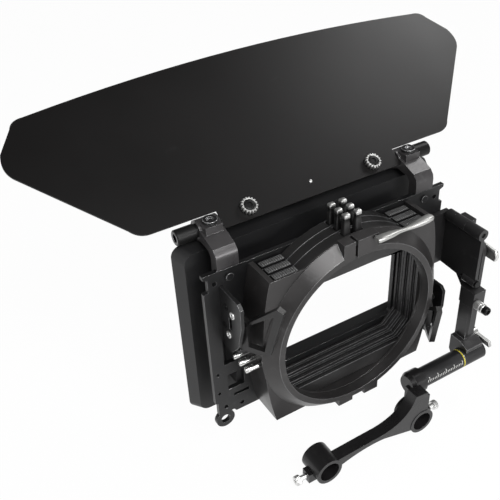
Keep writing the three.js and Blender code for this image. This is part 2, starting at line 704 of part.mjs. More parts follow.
function mountPlate() {
  const end = MOUNT_Y + MOUNT_THICK;
  const sheet = slabY(mountOutline(), MOUNT_Y, end);
  const sides = [-1, 1];
  const span = (side, a, b) => (side > 0 ? [a, b] : [-b, -a]);
  const eyelet = (x) => roundY(EYELET_R, EYELET_R, MOUNT_Y, end, x, AXIS_Z - EYELET_Z);
  const eyelets = sides.map((s) => eyelet(s * EYELET_X));
  const hole = (r, x, z) => roundY(r, r, MOUNT_Y - 1, end + 1, x, AXIS_Z + z, 16);
  const cuts = sides.flatMap((s) => [
    hole(EYELET_HOLE_R, s * EYELET_X, -EYELET_Z),
    hole(2.2, s * 109.5, -67.8),
    hole(2.2, s * 93.6, -71.6),
    hole(2.2, s * 110.4, 67.4),
    hole(1.6, s * 114.6, -27.3),
    hole(1.6, s * 114.6, -49.4),
    hole(1.9, s * (BRACKET_INNER_X + BRACKET_WIDTH / 2), 70.2),
    box(...span(s, 93, 108), MOUNT_Y - 1, end + 1, AXIS_Z - 19.4, AXIS_Z + 9.2),
    box(...span(s, 90, 106), MOUNT_Y - 1, end + 1, AXIS_Z - 49.2, AXIS_Z - 31.9),
    box(...span(s, 86, 101), MOUNT_Y - 1, end + 1, AXIS_Z - 59, AXIS_Z - 56),
  ]);
  const aperture = slabY(
    roundedRect(APERTURE_HALF_WIDTH, APERTURE_HALF_HEIGHT, 4, AXIS_Z),
    MOUNT_Y - 1,
    end + 1,
  );
  const body = joined([sheet, ...eyelets]);
  return [...cuts, aperture].reduce((left, cut) => left.subtract(cut), body);
}
add("mount_plate", mountPlate(), BLACK_METAL());

// ---------- sunshade ----------
function sunshade() {
  const rear = MOUNT_Y + MOUNT_THICK + SEAT_GAP;
  const wall = HOOD_WALL;
  const neckOutline = (inset) =>
    roundedRect(
      HOOD_NECK_HALF_WIDTH - inset,
      HOOD_NECK_HALF_HEIGHT - inset,
      HOOD_CORNER_R - inset,
      AXIS_Z,
    );
  const neck = slabY(neckOutline(0), rear, HOOD_FLANGE_Y + 1);
  const neckBore = slabY(neckOutline(wall), rear + wall, HOOD_FLANGE_Y + 2 * wall);
  const opening = slabY(
    roundedRect(APERTURE_HALF_WIDTH + 3, APERTURE_HALF_HEIGHT + 3, 5, AXIS_Z),
    rear - 1,
    rear + wall + 1,
  );
  const rim = flare(
    HOOD_FLANGE_Y,
    HOOD_FLANGE_HALF_WIDTH,
    HOOD_FLANGE_HALF_HEIGHT,
    HOOD_FRONT_Y,
    HOOD_FRONT_HALF_WIDTH,
    HOOD_FRONT_HALF_HEIGHT,
    HOOD_CORNER_R,
  );
  const rimBore = flare(
    HOOD_FLANGE_Y + wall,
    HOOD_FLANGE_HALF_WIDTH - wall,
    HOOD_FLANGE_HALF_HEIGHT - wall,
    HOOD_FRONT_Y + 1,
    HOOD_FRONT_HALF_WIDTH - wall,
    HOOD_FRONT_HALF_HEIGHT - wall,
    HOOD_CORNER_R - wall,
  );
  return neck.add(rim.subtract(rimBore)).subtract(neckBore).subtract(opening);
}
add("sunshade", sunshade(), BLACK_PLASTIC());

// ---------- flag brackets, bar and flag ----------
const barZ = AXIS_Z + BAR_Z;
const headR = CLAMP_HEAD_D / 2;
const headTop = barZ + headR;
const capY = BAR_Y - 7;

function flagBracket(x0) {
  const [rear, front] = [MOUNT_Y, MOUNT_Y + MOUNT_THICK + SEAT_GAP];
  const z = (rise) => AXIS_Z + rise;
  const strap = slabX(
    outline([
      [front, z(62)],
      [front + BRACKET_THICK, z(62)],
      [front + BRACKET_THICK, z(86)],
      [front + BRACKET_THICK + 3, z(90)],
      [BAR_Y - 6, z(91.5)],
      [BAR_Y, barZ],
      [BAR_Y - 6, headTop - 4],
      [BAR_Y - 19, z(98)],
      [rear + 4.5, z(95)],
      [rear + 1, z(91)],
      [rear, z(87)],
      [rear, z(MOUNT_TOP) + SEAT_GAP],
      [front, z(MOUNT_TOP) + SEAT_GAP],
    ]),
    x0,
    x0 + BRACKET_WIDTH,
  );
  const head = roundX(headR, x0, x0 + BRACKET_WIDTH, BAR_Y, barZ);
  const capSeat = box(x0 + 2, x0 + BRACKET_WIDTH - 2, capY - 7, BAR_Y, barZ, headTop);
  const bore = roundX(BAR_D / 2 + SEAT_GAP, x0 - 1, x0 + BRACKET_WIDTH + 1, BAR_Y, barZ);
  const screwHole = roundY(1.9, 1.9, rear - 1, front + 10, x0 + BRACKET_WIDTH / 2, z(70.2), 16);
  return joined([strap, head, capSeat]).subtract(bore).subtract(screwHole);
}

for (const [side, x0] of [
  ["left", -BRACKET_INNER_X - BRACKET_WIDTH],
  ["right", BRACKET_INNER_X],
]) {
  const middle = x0 + BRACKET_WIDTH / 2;
  add(`flag_bracket_${side}`, flagBracket(x0), GREY_METAL());
  const cap = roundZ(CAP_D / 2, headTop + SEAT_GAP, headTop + 3, middle, capY).subtract(
    roundZ(3, headTop + 1.5, headTop + 4, middle, capY, 6),
  );
  add(`bracket_cap_${side}`, cap, GREY_METAL());
  const screw = roundY(1.6, 1.6, MOUNT_Y - 0.5, MOUNT_Y + 9, middle, AXIS_Z + 70.2, 16).add(
    roundY(3.4, 3.4, MOUNT_Y - 2, MOUNT_Y - SEAT_GAP, middle, AXIS_Z + 70.2, 20),
  );
  add(`bracket_screw_${side}`, screw, BLACK_METAL());
}

const bar = roundX(BAR_D / 2, -BAR_HALF_LENGTH, BAR_HALF_LENGTH, BAR_Y, barZ, 32);
const barEnds = [-1, 1].map((s) => {
  const middle = s * (BAR_HALF_LENGTH - 6);
  return roundX(BAR_BORE_D / 2, middle - 6.5, middle + 6.5, BAR_Y, barZ);
});
add("flag_bar", bar.subtract(barEnds[0]).subtract(barEnds[1]), BLACK_METAL());

const sheetLift = BAR_D / 2 + SEAT_GAP;

// Lays a body drawn on the plane z = 0 (x across, y up the flag) on the tilted flag.
function onFlag(body) {
  const m = new THREE.Matrix4()
    .makeTranslation(0, BAR_Y, barZ)
    .multiply(new THREE.Matrix4().makeRotationX(FLAG_TILT));
  return body.transform([...m.elements]);
}

function flagOutline() {
  const s = new THREE.Shape();
  const crown = FLAG_HEIGHT - 12;
  s.moveTo(-FLAG_HALF_TAB, -FLAG_TAB);
  s.lineTo(FLAG_HALF_TAB, -FLAG_TAB);
  s.lineTo(FLAG_HALF_TAB, FLAG_FOOT);
  s.lineTo(FLAG_HALF_FOOT - 6, FLAG_FOOT);
  s.quadraticCurveTo(FLAG_HALF_FOOT + 4, FLAG_FOOT, FLAG_HALF_FOOT + 9, FLAG_FOOT + 8);
  s.lineTo(FLAG_HALF_SPAN - 5, 83);
  s.quadraticCurveTo(FLAG_HALF_SPAN + 3, 92, FLAG_HALF_SPAN - 2, 106);
  s.lineTo(FLAG_HALF_CROWN + 3, 125);
  s.quadraticCurveTo(FLAG_HALF_CROWN, crown + 1, FLAG_HALF_CROWN - 10, crown + 1);
  s.quadraticCurveTo(0, FLAG_HEIGHT + 11, -FLAG_HALF_CROWN + 10, crown + 1);
  s.quadraticCurveTo(-FLAG_HALF_CROWN, crown + 1, -FLAG_HALF_CROWN - 3, 125);
  s.lineTo(-FLAG_HALF_SPAN + 2, 106);
  s.quadraticCurveTo(-FLAG_HALF_SPAN - 3, 92, -FLAG_HALF_SPAN + 5, 83);
  s.lineTo(-FLAG_HALF_FOOT - 9, FLAG_FOOT + 8);
  s.quadraticCurveTo(-FLAG_HALF_FOOT - 4, FLAG_FOOT, -FLAG_HALF_FOOT + 6, FLAG_FOOT);
  s.lineTo(-FLAG_HALF_TAB, FLAG_FOOT);
  return s;
}

function flat(shape, z0, z1, curveSegments = 12) {
  const g = new THREE.ExtrudeGeometry(shape, { depth: z1 - z0, bevelEnabled: false, curveSegments });
  g.translate(0, 0, z0);
  return solid(g);
}

const sheetTop = sheetLift + FLAG_THICK;
const thumbHoles = [-1, 1].map((s) => roundZ(2.4, 0, 20, s * THUMB_X, 1, 16));
const sheet = flat(flagOutline(), sheetLift, sheetTop, 16);
add("top_flag", onFlag(thumbHoles.reduce((left, hole) => left.subtract(hole), sheet)), BLACK_PLASTIC());

for (const [side, s] of [
  ["left", -1],
  ["right", 1],
]) {
  const base = sheetTop + SEAT_GAP;
  const knob = roundZ(THUMB_D / 2, base, base + THUMB_HEIGHT, s * THUMB_X, 1, 28)
    .add(roundZ(2, BAR_D / 2 + 0.4, base + 1, s * THUMB_X, 1, 16))
    .subtract(roundZ(3.4, base + 1.6, base + THUMB_HEIGHT + 1, s * THUMB_X, 1, 20));
  add(`flag_thumbscrew_${side}`, onFlag(knob), CHROME());
}
const rivet = roundZ(1.6, sheetTop + SEAT_GAP, sheetTop + 1, 0, 4, 12);
add("flag_rivet", onFlag(rivet), CHROME());

// ---------- side fittings: the right ones mirror the left ones and sit lower ----------
function onRight(body) {
  const m = new THREE.Matrix4()
    .makeTranslation(0, 0, -RIGHT_DROP)
    .multiply(new THREE.Matrix4().makeScale(-1, 1, 1));
  return body.transform([...m.elements]);
}

function sidePlate() {
  const end = MOUNT_Y - SEAT_GAP;
  const [x0, x1] = [-SIDE_X, -SIDE_X + SIDE_THICK];
  const z = (rise) => AXIS_Z + rise;
  const sheetBody = slabX(
    outline([
      [end, z(4)],
      [62, z(4)],
      [50, z(18)],
      [43, z(42)],
      [43, z(60)],
      [47, z(64)],
      [end, z(64)],
    ]),
    x0,
    x1,
  );
  const holes = [
    [56, 47, BUSH_R],
    [64, 22, BUSH_R],
    [66, 49, 2.6],
    [70, 28, 2.6],
  ].map(([y, rise, r]) => roundX(r + SEAT_GAP, x0 - 1, x1 + 1, y, z(rise), 20));
  const lugs = [
    [LOOP_LOW - 4, LOOP_LOW - RUN_GAP],
    [LOOP_HIGH + RUN_GAP, LOOP_HIGH + 4],
  ].map(([a, b]) => box(x1 - 1, -LOOP_X + 3, LOOP_Y - 3, LOOP_Y + 3, z(a), z(b)));
  const slot = box(x0 - 1, x1 + 1, 58, 62, z(30), z(41));
  const pinHole = roundZ(LOOP_PIN_R + SEAT_GAP, z(-10), z(80), -LOOP_X, LOOP_Y, 16);
  const body = joined([sheetBody, ...lugs]);
  return [...holes, slot, pinHole].reduce((left, cut) => left.subtract(cut), body);
}

function bush(y, rise) {
  const [x0, x1] = [-SIDE_X - 0.8, -SIDE_X + SIDE_THICK];
  const z = AXIS_Z + rise;
  return roundX(BUSH_R, x0, x1, y, z, 20).subtract(roundX(BUSH_R / 2, x0 - 1, x1 + 1, y, z, 16));
}

function sideLoop() {
  const loop = outline([
    [2, LOOP_HIGH],
    [8, 41],
    [34, 64],
    [39, 61],
    [27, 15],
    [14, LOOP_LOW],
    [2, LOOP_LOW],
  ]);
  const opening = outline([
    [7, 38],
    [8, 17],
    [22, 17],
    [31.5, 56],
  ]);
  const turn = new THREE.Matrix4()
    .makeTranslation(-LOOP_X, LOOP_Y, AXIS_Z)
    .multiply(new THREE.Matrix4().makeRotationZ(LOOP_ANGLE));
  const blade = slabY(loop, -LOOP_THICK / 2, LOOP_THICK / 2)
    .subtract(slabY(opening, -LOOP_THICK, LOOP_THICK))
    .transform([...turn.elements]);
  const barrel = roundZ(2.6, AXIS_Z + LOOP_LOW, AXIS_Z + LOOP_HIGH, -LOOP_X, LOOP_Y, 20);
  const pinHole = roundZ(LOOP_PIN_R + SEAT_GAP, AXIS_Z, AXIS_Z + 80, -LOOP_X, LOOP_Y, 16);
  return blade.add(barrel).subtract(pinHole);
}

const loopPin = () =>
  roundZ(LOOP_PIN_R, AXIS_Z + LOOP_LOW - 4, AXIS_Z + LOOP_HIGH + 4, -LOOP_X, LOOP_Y, 16);

for (const [side, place] of [
  ["left", (body) => body],
  ["right", onRight],
]) {
  add(`side_plate_${side}`, place(sidePlate()), BLACK_METAL());
  add(`side_bush_${side}_1`, place(bush(56, 47)), CHROME());
  add(`side_bush_${side}_2`, place(bush(64, 22)), CHROME());
  add(`side_loop_${side}`, place(sideLoop()), BLACK_METAL());
  add(`loop_pin_${side}`, place(loopPin()), CHROME());
}

export default part;
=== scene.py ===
import json
import math

import bmesh
import bpy
import numpy as np
from mathutils import Matrix, Vector

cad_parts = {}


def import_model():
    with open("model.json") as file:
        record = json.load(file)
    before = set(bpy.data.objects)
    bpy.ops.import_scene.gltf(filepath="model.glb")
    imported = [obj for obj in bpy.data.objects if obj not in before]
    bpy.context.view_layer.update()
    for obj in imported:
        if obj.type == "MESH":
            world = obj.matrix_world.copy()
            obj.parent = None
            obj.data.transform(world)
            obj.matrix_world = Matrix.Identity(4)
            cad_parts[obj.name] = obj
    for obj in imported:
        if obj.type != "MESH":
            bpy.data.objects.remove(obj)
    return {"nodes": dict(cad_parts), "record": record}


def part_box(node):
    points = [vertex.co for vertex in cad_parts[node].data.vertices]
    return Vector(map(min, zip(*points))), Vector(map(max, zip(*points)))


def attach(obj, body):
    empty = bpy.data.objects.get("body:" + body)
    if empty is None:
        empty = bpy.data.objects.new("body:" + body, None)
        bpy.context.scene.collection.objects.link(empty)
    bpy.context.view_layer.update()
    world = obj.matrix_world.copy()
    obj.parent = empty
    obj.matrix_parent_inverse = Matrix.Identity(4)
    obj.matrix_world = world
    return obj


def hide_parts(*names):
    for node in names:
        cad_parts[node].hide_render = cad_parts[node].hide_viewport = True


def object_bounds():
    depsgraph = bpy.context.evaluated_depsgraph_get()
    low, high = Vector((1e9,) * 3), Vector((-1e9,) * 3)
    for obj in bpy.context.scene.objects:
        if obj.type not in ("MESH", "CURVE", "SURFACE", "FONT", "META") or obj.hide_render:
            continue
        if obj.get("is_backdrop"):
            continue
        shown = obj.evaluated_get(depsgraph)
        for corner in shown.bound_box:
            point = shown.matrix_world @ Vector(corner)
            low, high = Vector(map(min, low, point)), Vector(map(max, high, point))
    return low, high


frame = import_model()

cad_low, cad_high = (list(corner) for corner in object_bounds())
node_body = {n: b for b, nodes in frame["record"]["behaviour"]["bodies"].items() for n in nodes}
MM = 0.001
AXIS_Z = 0.1168  # height of the optical axis
TUBE_Y, TUBE_Z = 0.022, 0.0292  # the cross tube's axis
FLAG_AXIS = np.array([0.0, 0.1058, 0.2145])  # the flag's hinge, at the middle of its bar
FLAG_UP = np.array([0.0, 0.83676, 0.54756])  # up the flag's sheet
FLAG_NORMAL = np.array([0.0, -0.54756, 0.83676])  # out of the flag's upper face
SIDE_PLATE_X = 0.1065  # outer face of a side plate
RIGHT_DROP = 0.076  # how much lower the right side fittings sit
THUMBSCREW_X = 0.0612  # either thumbscrew, from the middle
BAR_END_X = 0.1081  # either end of the flag bar, from the middle
PLATE_HOLE_R = 2.6 * MM  # the plain holes of a side plate
LEVER_PIVOT_X = 0.011  # the pivot of the collar's lever
LAMP_AIM = (0.0, 0.05, 0.12)  # the middle of the box, where most lamps point


# ---------------------------------------------------------------- finishes
class Wire:
    """One socket of a finish. Operators on it add Math nodes, on either side: 1 - mask works."""

    def __init__(self, finish, socket):
        self.finish, self.socket = finish, socket

    def __add__(self, other): return self.finish.maths("ADD", self, other)
    def __radd__(self, other): return self.finish.maths("ADD", other, self)
    def __mul__(self, other): return self.finish.maths("MULTIPLY", self, other)
    def __rmul__(self, other): return self.finish.maths("MULTIPLY", other, self)
    def __sub__(self, other): return self.finish.maths("SUBTRACT", self, other)
    def __rsub__(self, other): return self.finish.maths("SUBTRACT", other, self)
    def __mod__(self, other): return self.finish.maths("FLOORED_MODULO", self, other)
    def __rmod__(self, other): return self.finish.maths("FLOORED_MODULO", other, self)
    def __lt__(self, other): return self.finish.maths("LESS_THAN", self, other)
    def __gt__(self, other): return self.finish.maths("GREATER_THAN", self, other)
    def __abs__(self): return self.finish.maths("ABSOLUTE", self)


class Finish:
    """A procedural material, or the world's light, and the nodes that vary it."""

    def __init__(self, name, owner=None):
        self.material = owner or bpy.data.materials.new(name)
        self.material.use_nodes = True
        self.tree = self.material.node_tree
        self.tree.nodes.clear()
        self.place = None

    def node(self, kind, settings=None, sockets=None):
        made = self.tree.nodes.new(kind)
        for key, value in (settings or {}).items():
            setattr(made, key, value)
        for key, value in (sockets or {}).items():
            if isinstance(value, Wire):
                self.tree.links.new(value.socket, made.inputs[key])
            else:
                made.inputs[key].default_value = value
        return made

    def add(self, kind, settings=None, sockets=None, out=0):
        return Wire(self, self.node(kind, settings, sockets).outputs[out])

    def maths(self, operation, *values):
        return self.add("ShaderNodeMath", {"operation": operation}, dict(enumerate(values)))

    def rays(self, *kinds):
        """Light Path sockets: 1 where a ray is of that kind."""
        path = self.node("ShaderNodeLightPath")
        return [Wire(self, path.outputs[f"Is {kind} Ray"]) for kind in kinds]

    def where(self, scale=(1, 1, 1)):
        """Object coordinates, stretched."""
        if self.place is None:
            self.place = self.add("ShaderNodeTexCoord", out=3)
        return self.add("ShaderNodeMapping", None, {"Vector": self.place, "Scale": scale})

    def axes(self):
        if self.place is None:
            self.where()
        split = self.node("ShaderNodeSeparateXYZ", None, {"Vector": self.place})
        return [Wire(self, split.outputs[k]) for k in range(3)]

    def noise(self, scale, detail=3.0, roughness=0.55, place=None):
        sockets = {"Vector": place or self.where(), "Scale": scale}
        sockets |= {"Detail": detail, "Roughness": roughness}
        return self.add("ShaderNodeTexNoise", None, sockets)

    def between(self, value, low, high, to_low=0.0, to_high=1.0):
        given = {"Value": value, "From Min": low, "From Max": high}
        made = {"To Min": to_low, "To Max": to_high}
        return self.add("ShaderNodeMapRange", None, given | made)

    def mix(self, share, first, second):
        def rgba(c):
            return c if isinstance(c, Wire) else (*c, 1)

        return self.add(
            "ShaderNodeMix",
            {"data_type": "RGBA"},
            {0: share, 6: rgba(first), 7: rgba(second)},
            out=2,
        )

    def cloudy(self, cloud, colour, dark, light):
        """A colour that drifts between a darker and a lighter tone of itself."""
        share = self.between(cloud, 0.3, 0.7)
        return self.mix(share, [dark * c for c in colour], [light * c for c in colour])

    def bump(self, height, depth, strength=1.0):
        sockets = {"Height": height, "Distance": depth, "Strength": strength}
        return self.add("ShaderNodeBump", None, sockets)

    def shade(self, colour, roughness, metallic=0.0, normal=None, **constants):
        sockets = {"Base Color": colour, "Roughness": roughness, "Metallic": metallic}
        if not isinstance(colour, Wire):
            sockets["Base Color"] = (*colour, 1)
        if normal is not None:
            sockets["Normal"] = normal
        for key, value in constants.items():
            sockets[key.replace("_", " ")] = value
        surface = self.add("ShaderNodeBsdfPrincipled", None, sockets)
        self.node("ShaderNodeOutputMaterial", None, {"Surface": surface})
        return self.material


def anodised(name, colour, worn, roughness, metallic=0.35):
    """Bead-blasted, anodised aluminium: a fine grain, cloudy tone and faint handling marks."""
    f = Finish(name)
    cloud = f.noise(28, 4)
    rubbed = f.between(f.noise(110, 5, 0.65), 0.60, 0.80)
    blast = f.noise(3800, 2, 0.6)
    tone = f.cloudy(cloud, colour, 0.8, 1.25)
    final = f.mix(rubbed * 0.35, tone, worn)
    rough = f.between(cloud, 0.3, 0.7, roughness - 0.05, roughness + 0.06) + (blast - 0.5) * 0.12
    return f.shade(final, rough, metallic, f.bump(blast, 0.00002, 0.6))


def worn_and_highlit_edge(name, bare, film, roughness=0.38, metallic=0.7):
    """An edge where handling has thinned the film: bare metal in patches, film between them. That
    film is lighter than the faces' own film, a painted highlight along the edge.
    """
    f = Finish(name)
    patch = f.between(f.noise(420, 4, 0.6), 0.36, 0.62)
    slow = f.between(f.noise(60, 2), 0.35, 0.65, 0.55, 1.0)
    return f.shade(f.mix(patch * slow, film, bare), patch * -0.1 + roughness, metallic)


def moulded(name, colour, roughness, texture=0.00003, scale=2200, specular=0.4):
    """Moulded composite: a fine pebbled texture, slightly cloudy."""
    f = Finish(name)
    cloud = f.noise(18, 3)
    pebble = f.noise(scale, 2, 0.5)
    scuff = f.between(f.noise(260, 5, 0.7), 0.64, 0.82)
    tone = f.cloudy(cloud, colour, 0.82, 1.2)
    tone = f.mix(scuff * 0.3, tone, tuple(min(1, 3.2 * c) for c in colour))
    rough = f.between(cloud, 0.3, 0.7, roughness - 0.05, roughness + 0.05)
    return f.shade(tone, rough, 0.0, f.bump(pebble, texture, 0.55), Specular_IOR_Level=specular)


def bright(name, colour, roughness, along="x"):
    """Bright machined steel: tool lines across the length and a soft cloud of tarnish."""
    f = Finish(name)
    stretch = {"x": (1, 0.04, 0.04), "y": (0.04, 1, 0.04), "z": (0.04, 0.04, 1)}[along]
    lines = f.noise(5200, 2, 0.6, f.where(stretch))
    cloud = f.noise(120, 4)
    tone = f.mix(f.between(cloud, 0.3, 0.7), tuple(0.84 * c for c in colour), colour)
    rough = f.between(lines, 0.3, 0.7, roughness - 0.06, roughness + 0.08)
    return f.shade(tone, rough, 1.0, f.bump(lines, 0.000012, 0.5))


def scaled_tube(name, colour):
    """The cross tube: black film with a printed scale of plain marks, longer at every fifth."""
    f = Finish(name)
    x, y, z = f.axes()
    pitch, thick = 2.0 * MM, 0.5 * MM
    fine = ((x + 0.5 * thick) % pitch) < thick
    coarse = ((x + 0.5 * thick) % (5 * pitch)) < thick
    # The printed band lies on the upper rear of the tube, by height from the tube's axis.
    rise = z - TUBE_Z
    rear = y < TUBE_Y
    short_band = (abs(rise - 0.0024) < 0.0012) * rear
    long_band = (abs(rise - 0.0033) < 0.0021) * rear
    in_length = (x > 0.066) * (x < 0.111)
    mark = (fine * short_band + coarse * long_band) * in_length
    blast = f.noise(3800, 2, 0.6)
    cloud = f.noise(30, 4)
    tone = f.cloudy(cloud, colour, 0.8, 1.3)
    ink = f.between(f.noise(900, 3), 0.3, 0.6, 0.7, 0.95)
    final = f.mix(f.add("ShaderNodeClamp", None, {0: mark}) * ink, tone, (0.78, 0.78, 0.76))
    rough = f.between(cloud, 0.3, 0.7, 0.36, 0.46)
    return f.shade(final, rough, 0.3, f.bump(blast, 0.00002, 0.5))


def flag_skin(name, colour):
    """The flag's sheet: black satin composite, with a hairline lay and a few fine rubs."""
    f = Finish(name)
    hair = f.noise(2600, 2, 0.6, f.where((0.05, 1, 1)))
    cloud = f.noise(7, 3)
    rub = f.between(f.noise(40, 6, 0.72, f.where((0.4, 1, 1))), 0.66, 0.80)
    tone = f.cloudy(cloud, colour, 0.85, 1.15)
    tone = f.mix(rub * 0.18, tone, (0.06, 0.06, 0.062))
    rough = f.between(cloud, 0.3, 0.7, 0.37, 0.42) + (hair - 0.5) * 0.05
    return f.shade(tone, rough, 0.0, f.bump(hair, 0.00001, 0.35), Specular_IOR_Level=0.22)


BLACK_FILM = anodised("black_film", (0.011, 0.011, 0.0115), (0.07, 0.07, 0.07), 0.36)
BRIDGE_FILM = anodised(
    "bridge_film", (0.010, 0.0095, 0.010), (0.07, 0.07, 0.07), 0.30, metallic=0.2
)
STAGE_FILM = anodised("stage_film", (0.029, 0.0275, 0.0275), (0.11, 0.108, 0.108), 0.34)
TRAY_FILM = anodised("tray_film", (0.018, 0.0175, 0.0175), (0.09, 0.09, 0.09), 0.32)
GREY_FILM = anodised("grey_film", (0.042, 0.040, 0.041), (0.14, 0.14, 0.14), 0.30)
COLUMN_FILM = anodised("column_film", (0.019, 0.0185, 0.019), (0.10, 0.10, 0.10), 0.32)
# Edge finishes for the bevels: bare metal in worn patches, on a film lighter than the faces' film,
# which is a painted highlight along the broken edges.
EDGE_DARK = worn_and_highlit_edge("worn_and_highlit_edge_dark", (0.34, 0.34, 0.345), (0.085, 0.085, 0.086), 0.30)
EDGE_GREY = worn_and_highlit_edge("worn_and_highlit_edge_grey", (0.60, 0.60, 0.61), (0.24, 0.24, 0.242), 0.28)
EDGE_SOFT = worn_and_highlit_edge("worn_and_highlit_edge_soft", (0.14, 0.14, 0.142), (0.04, 0.04, 0.041), 0.38, 0.3)
EDGE_TRAY = worn_and_highlit_edge("worn_and_highlit_edge_tray", (0.10, 0.10, 0.102), (0.028, 0.028, 0.029), 0.40, 0.3)
HOOD_SKIN = moulded("hood_skin", (0.0075, 0.0075, 0.008), 0.46)
# The hood's bevels: a pebbled black plastic much lighter than the hood's skin, a painted highlight
# along its edges.
HOOD_EDGE_HIGHLIGHT = moulded("hood_edge_highlight", (0.13, 0.13, 0.132), 0.38, 0.00002)
BLACK_CAP = moulded("black_cap", (0.004, 0.004, 0.004), 0.40, 0.00002, 3000, 0.2)
FLAG_SKIN = flag_skin("flag_skin", (0.0034, 0.0030, 0.0030))
# The flag's bevels: a tone much lighter than the flag's sheet, a painted highlight along its edges.
FLAG_EDGE_HIGHLIGHT = moulded("flag_edge_highlight", (0.035, 0.035, 0.035), 0.45, 0.00001)
STEEL_X = bright("steel_along_x", (0.70, 0.70, 0.69), 0.22, "x")
STEEL_Z = bright("steel_along_z", (0.68, 0.68, 0.67), 0.26, "z")
SATIN_STEEL = bright("satin_steel", (0.62, 0.62, 0.61), 0.34, "x")
SCREW_STEEL = bright("screw_steel", (0.52, 0.52, 0.51), 0.42, "z")
LEVER_STEEL = bright("lever_steel", (0.50, 0.50, 0.485), 0.42, "x")
PALE_STEEL = bright("pale_steel", (0.80, 0.80, 0.79), 0.38, "y")
TUBE_FILM = scaled_tube("tube_film", (0.011, 0.011, 0.0115))
YELLOW_LINE = moulded("yellow_line", (0.42, 0.36, 0.03), 0.5, 0.00001)
RIB_GREY = anodised("rib_grey", (0.20, 0.20, 0.20), (0.42, 0.42, 0.42), 0.30, metallic=0.6)


# ---------------------------------------------------------------- shapes
def placed(name, data):
    """A new object in the scene, from a mesh, a lamp or a camera."""
    made = bpy.data.objects.new(name, data)
    bpy.context.scene.collection.objects.link(made)
    return made


def face_out(mesh, weld=None):
    """Turns a closed mesh's faces outwards, once points closer than `weld` are merged."""
    solid = bmesh.new()
    solid.from_mesh(mesh)
    if weld is not None:
        bmesh.ops.remove_doubles(solid, verts=solid.verts, dist=weld)
    bmesh.ops.recalc_face_normals(solid, faces=solid.faces)
    solid.to_mesh(mesh)
    solid.free()


def grid_faces(columns, rows):
    """The faces of a grid whose point (i, j) is number i*rows + j."""
    i, j = np.meshgrid(np.arange(columns - 1), np.arange(rows - 1), indexing="ij")
    a = (i * rows + j).ravel()
    return np.stack([a, a + rows, a + rows + 1, a + 1], 1)


def finished(name, mesh, materials, body, sharp=35.0):
    """Puts a mesh in the scene as a piece that rides on a body."""
    mesh.shade_smooth()
    mesh.set_sharp_from_angle(angle=math.radians(sharp))
    for material in materials:
        mesh.materials.append(material)
    piece = placed(name, mesh)
    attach(piece, body)
    return piece


def sheet_mesh(name, points, material_rows=None):
    """A mesh from a grid of points (rows along the profile, columns round it), closed round the
    columns. Rows that shrink to one point are poles, and are closed by merging."""
    rows, cols = points.shape[:2]
    r, c = np.meshgrid(np.arange(rows - 1), np.arange(cols), indexing="ij")
    n = (c + 1) % cols
    quads = np.stack([r * cols + c, r * cols + n, (r + 1) * cols + n, (r + 1) * cols + c], -1)
    mesh = bpy.data.meshes.new(name)
    mesh.from_pydata(points.reshape(-1, 3).tolist(), [], quads.reshape(-1, 4).tolist())
    if material_rows is not None:
        index = np.repeat(np.asarray(material_rows, np.int32), cols)
        mesh.polygons.foreach_set("material_index", index)
    face_out(mesh, weld=1e-7)
    return mesh


def across(axis):
    """Two unit vectors square to an axis."""
    a = np.asarray(axis, float)
    a = a / np.linalg.norm(a)
    helper = np.array([0.0, 0.0, 1.0]) if abs(a[2]) < 0.9 else np.array([1.0, 0.0, 0.0])
    u = np.cross(helper, a)
    u = u / np.linalg.norm(u)
    return a, u, np.cross(a, u)


def turned(name, profile, centre, axis, facets=64, teeth=0, depth=0.0, toothed=None):
    """A turned piece: point = centre + h*axis + r*(1 + w)*(cos t*u + sin t*v), where (r, h) runs
    along the profile and w = depth/r * |cos(teeth*t/2)| on the toothed rows, as on a knurl."""
    a, u, v = across(axis)
    p = np.asarray(profile, float)
    t = np.linspace(0, 2 * np.pi, facets, endpoint=False)
    r = np.repeat(p[:, :1], facets, 1)
    if teeth:
        wave = np.abs(np.cos(teeth * t / 2)) - 1.0
        r = r + np.asarray(toothed, float)[:, None] * depth * wave[None, :]
    ring = np.cos(t)[:, None] * u + np.sin(t)[:, None] * v
    points = np.asarray(centre) + p[:, 1, None, None] * a + r[..., None] * ring[None]
    return sheet_mesh(name, points)


def rounded_bar(name, stations, facets, power):
    """A bar whose section is a superellipse |y/w|^n + |z/h|^n = 1, carried along stations of
    (x, y, z, half width, half height) and closed at its ends."""
    s = np.asarray(stations, float)
    t = np.linspace(0, 2 * np.pi, facets, endpoint=False)
    cos, sin = np.cos(t), np.sin(t)
    y = np.sign(cos) * np.abs(cos) ** (2 / power)
    z = np.sign(sin) * np.abs(sin) ** (2 / power)
    points = np.empty((len(s), facets, 3))
    points[..., 0] = s[:, 0, None]
    points[..., 1] = s[:, 1, None] + s[:, 3, None] * y
    points[..., 2] = s[:, 2, None] + s[:, 4, None] * z
    return sheet_mesh(name, points)


